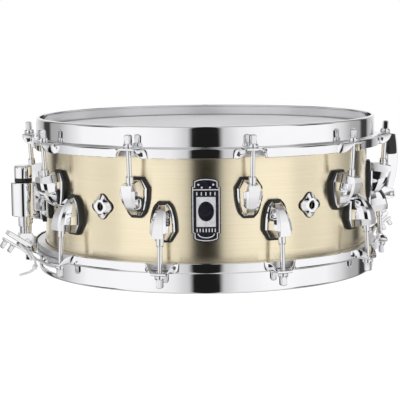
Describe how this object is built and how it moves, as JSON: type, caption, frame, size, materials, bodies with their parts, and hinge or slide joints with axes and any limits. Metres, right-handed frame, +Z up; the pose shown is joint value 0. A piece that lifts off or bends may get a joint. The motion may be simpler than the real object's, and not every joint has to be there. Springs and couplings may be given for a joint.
{
  "type": "snare drum",
  "caption": "Shallow metal snare drum with chromed hoops, faceted lugs, tension rods, lever throw-off, adjustable butt end and wires under the lower head.",
  "frame": {"origin": "on the drum's axis, in the plane of the snare hoop's rim, where the drum rests", "axes": "+Z up along the drum's axis towards the batter head; +X towards the throw-off, -X towards the butt end"},
  "size_m": [0.461, 0.4046, 0.165],
  "materials": {
    "shell_brass": "fine horizontal brushing under clear lacquer",
    "chrome": "polished",
    "plated_steel": "polished, slightly duller than the hoops",
    "head_film": "satin white film",
    "badge_enamel": "dark enamel with a polished border",
    "black_rubber": "matte",
    "snare_wire": "bright drawn wire",
    "snare_cord": "braided nylon"
  },
  "bodies": {
    "root": {"shell": "shell_brass", "batter_head": "head_film", "snare_head": "head_film", "batter_hoop": "chrome", "snare_hoop": "chrome", "lug_top_00": "chrome", "lug_top_01": "chrome", "lug_top_02": "chrome", "lug_top_03": "chrome", "lug_top_04": "chrome", "lug_top_05": "chrome", "lug_top_06": "chrome", "lug_top_07": "chrome", "lug_top_08": "chrome", "lug_top_09": "chrome", "lug_bottom_00": "chrome", "lug_bottom_01": "chrome", "lug_bottom_02": "chrome", "lug_bottom_03": "chrome", "lug_bottom_04": "chrome", "lug_bottom_05": "chrome", "lug_bottom_06": "chrome", "lug_bottom_07": "chrome", "lug_bottom_08": "chrome", "lug_bottom_09": "chrome", "badge": "badge_enamel", "vent_1": "chrome", "vent_2": "chrome", "butt_housing": "chrome", "strainer_housing": "chrome"},
    "tension_rod_top_00": {"tension_rod_top_00": "plated_steel"},
    "tension_rod_top_01": {"tension_rod_top_01": "plated_steel"},
    "tension_rod_top_02": {"tension_rod_top_02": "plated_steel"},
    "tension_rod_top_03": {"tension_rod_top_03": "plated_steel"},
    "tension_rod_top_04": {"tension_rod_top_04": "plated_steel"},
    "tension_rod_top_05": {"tension_rod_top_05": "plated_steel"},
    "tension_rod_top_06": {"tension_rod_top_06": "plated_steel"},
    "tension_rod_top_07": {"tension_rod_top_07": "plated_steel"},
    "tension_rod_top_08": {"tension_rod_top_08": "plated_steel"},
    "tension_rod_top_09": {"tension_rod_top_09": "plated_steel"},
    "tension_rod_bottom_00": {"tension_rod_bottom_00": "plated_steel"},
    "tension_rod_bottom_01": {"tension_rod_bottom_01": "plated_steel"},
    "tension_rod_bottom_02": {"tension_rod_bottom_02": "plated_steel"},
    "tension_rod_bottom_03": {"tension_rod_bottom_03": "plated_steel"},
    "tension_rod_bottom_04": {"tension_rod_bottom_04": "plated_steel"},
    "tension_rod_bottom_05": {"tension_rod_bottom_05": "plated_steel"},
    "tension_rod_bottom_06": {"tension_rod_bottom_06": "plated_steel"},
    "tension_rod_bottom_07": {"tension_rod_bottom_07": "plated_steel"},
    "tension_rod_bottom_08": {"tension_rod_bottom_08": "plated_steel"},
    "tension_rod_bottom_09": {"tension_rod_bottom_09": "plated_steel"},
    "lever": {"strainer_lever": "chrome", "lever_grip": "black_rubber"},
    "strainer_carrier": {"strainer_slide": "chrome", "strainer_clamp_plate": "chrome", "snare_cord_throw_off": "snare_cord"},
    "wires": {"snare_wires": "snare_wire"},
    "butt_knob": {"butt_knob": "chrome"},
    "butt_carrier": {"butt_stem": "chrome", "butt_clamp_plate": "chrome", "snare_cord_butt": "snare_cord"}
  },
  "joints": [
    {"name": "tension_rod_top_00_turn", "type": "hinge", "parent": "root", "child": "tension_rod_top_00", "pos_m": [0.18815, 0.04517, 0.108], "axis": [0.0594, 0.0143, 0.9981], "continuous": true},
    {"name": "tension_rod_top_01_turn", "type": "hinge", "parent": "root", "child": "tension_rod_top_01", "pos_m": [0.12567, 0.14714, 0.108], "axis": [0.0396, 0.0464, 0.9981], "continuous": true},
    {"name": "tension_rod_top_02_turn", "type": "hinge", "parent": "root", "child": "tension_rod_top_02", "pos_m": [0.01518, 0.1929, 0.108], "axis": [0.0048, 0.0609, 0.9981], "continuous": true},
    {"name": "tension_rod_top_03_turn", "type": "hinge", "parent": "root", "child": "tension_rod_top_03", "pos_m": [-0.1011, 0.16499, 0.108], "axis": [-0.0319, 0.0521, 0.9981], "continuous": true},
    {"name": "tension_rod_top_04_turn", "type": "hinge", "parent": "root", "child": "tension_rod_top_04", "pos_m": [-0.17877, 0.07405, 0.108], "axis": [-0.0564, 0.0234, 0.9981], "continuous": true},
    {"name": "tension_rod_top_05_turn", "type": "hinge", "parent": "root", "child": "tension_rod_top_05", "pos_m": [-0.18815, -0.04517, 0.108], "axis": [-0.0594, -0.0143, 0.9981], "continuous": true},
    {"name": "tension_rod_top_06_turn", "type": "hinge", "parent": "root", "child": "tension_rod_top_06", "pos_m": [-0.12567, -0.14714, 0.108], "axis": [-0.0396, -0.0464, 0.9981], "continuous": true},
    {"name": "tension_rod_top_07_turn", "type": "hinge", "parent": "root", "child": "tension_rod_top_07", "pos_m": [-0.01518, -0.1929, 0.108], "axis": [-0.0048, -0.0609, 0.9981], "continuous": true},
    {"name": "tension_rod_top_08_turn", "type": "hinge", "parent": "root", "child": "tension_rod_top_08", "pos_m": [0.1011, -0.16499, 0.108], "axis": [0.0319, -0.0521, 0.9981], "continuous": true},
    {"name": "tension_rod_top_09_turn", "type": "hinge", "parent": "root", "child": "tension_rod_top_09", "pos_m": [0.17877, -0.07405, 0.108], "axis": [0.0564, -0.0234, 0.9981], "continuous": true},
    {"name": "tension_rod_bottom_00_turn", "type": "hinge", "parent": "root", "child": "tension_rod_bottom_00", "pos_m": [0.17877, 0.07405, 0.057], "axis": [0.0564, 0.0234, -0.9981], "continuous": true},
    {"name": "tension_rod_bottom_01_turn", "type": "hinge", "parent": "root", "child": "tension_rod_bottom_01", "pos_m": [0.1011, 0.16499, 0.057], "axis": [0.0319, 0.0521, -0.9981], "continuous": true},
    {"name": "tension_rod_bottom_02_turn", "type": "hinge", "parent": "root", "child": "tension_rod_bottom_02", "pos_m": [-0.01518, 0.1929, 0.057], "axis": [-0.0048, 0.0609, -0.9981], "continuous": true},
    {"name": "tension_rod_bottom_03_turn", "type": "hinge", "parent": "root", "child": "tension_rod_bottom_03", "pos_m": [-0.12567, 0.14714, 0.057], "axis": [-0.0396, 0.0464, -0.9981], "continuous": true},
    {"name": "tension_rod_bottom_04_turn", "type": "hinge", "parent": "root", "child": "tension_rod_bottom_04", "pos_m": [-0.18815, 0.04517, 0.057], "axis": [-0.0594, 0.0143, -0.9981], "continuous": true},
    {"name": "tension_rod_bottom_05_turn", "type": "hinge", "parent": "root", "child": "tension_rod_bottom_05", "pos_m": [-0.17877, -0.07405, 0.057], "axis": [-0.0564, -0.0234, -0.9981], "continuous": true},
    {"name": "tension_rod_bottom_06_turn", "type": "hinge", "parent": "root", "child": "tension_rod_bottom_06", "pos_m": [-0.1011, -0.16499, 0.057], "axis": [-0.0319, -0.0521, -0.9981], "continuous": true},
    {"name": "tension_rod_bottom_07_turn", "type": "hinge", "parent": "root", "child": "tension_rod_bottom_07", "pos_m": [0.01518, -0.1929, 0.057], "axis": [0.0048, -0.0609, -0.9981], "continuous": true},
    {"name": "tension_rod_bottom_08_turn", "type": "hinge", "parent": "root", "child": "tension_rod_bottom_08", "pos_m": [0.12567, -0.14714, 0.057], "axis": [0.0396, -0.0464, -0.9981], "continuous": true},
    {"name": "tension_rod_bottom_09_turn", "type": "hinge", "parent": "root", "child": "tension_rod_bottom_09", "pos_m": [0.18815, -0.04517, 0.057], "axis": [0.0594, -0.0143, -0.9981], "continuous": true},
    {"name": "lever_throw", "type": "hinge", "parent": "root", "child": "lever", "pos_m": [0.2208, 0, 0.0678], "axis": [0, 1, 0], "range_deg": [0, 85]},
    {"name": "strainer_travel", "type": "slide", "parent": "root", "child": "strainer_carrier", "axis": [0, 0, -1], "range_m": [0, 0.0045]},
    {"name": "wire_drop", "type": "hinge", "parent": "root", "child": "wires", "pos_m": [-0.165, 0, 0.0105], "axis": [0, 1, 0], "range_deg": [0, 0.8]},
    {"name": "butt_knob_turn", "type": "hinge", "parent": "root", "child": "butt_knob", "pos_m": [-0.203, 0, 0.1], "axis": [0, 0, 1], "range_deg": [-540, 540]},
    {"name": "butt_travel", "type": "slide", "parent": "root", "child": "butt_carrier", "axis": [0, 0, -1], "range_m": [-0.0015, 0.0015]}
  ],
  "couplings": [
    {"joint": "strainer_travel", "follows": "lever_throw", "m_per_rad": 0.0030333},
    {"joint": "wire_drop", "follows": "lever_throw", "ratio": 0.0094117},
    {"joint": "butt_knob_turn", "follows": "butt_travel", "rad_per_m": 6283.2}
  ]
}
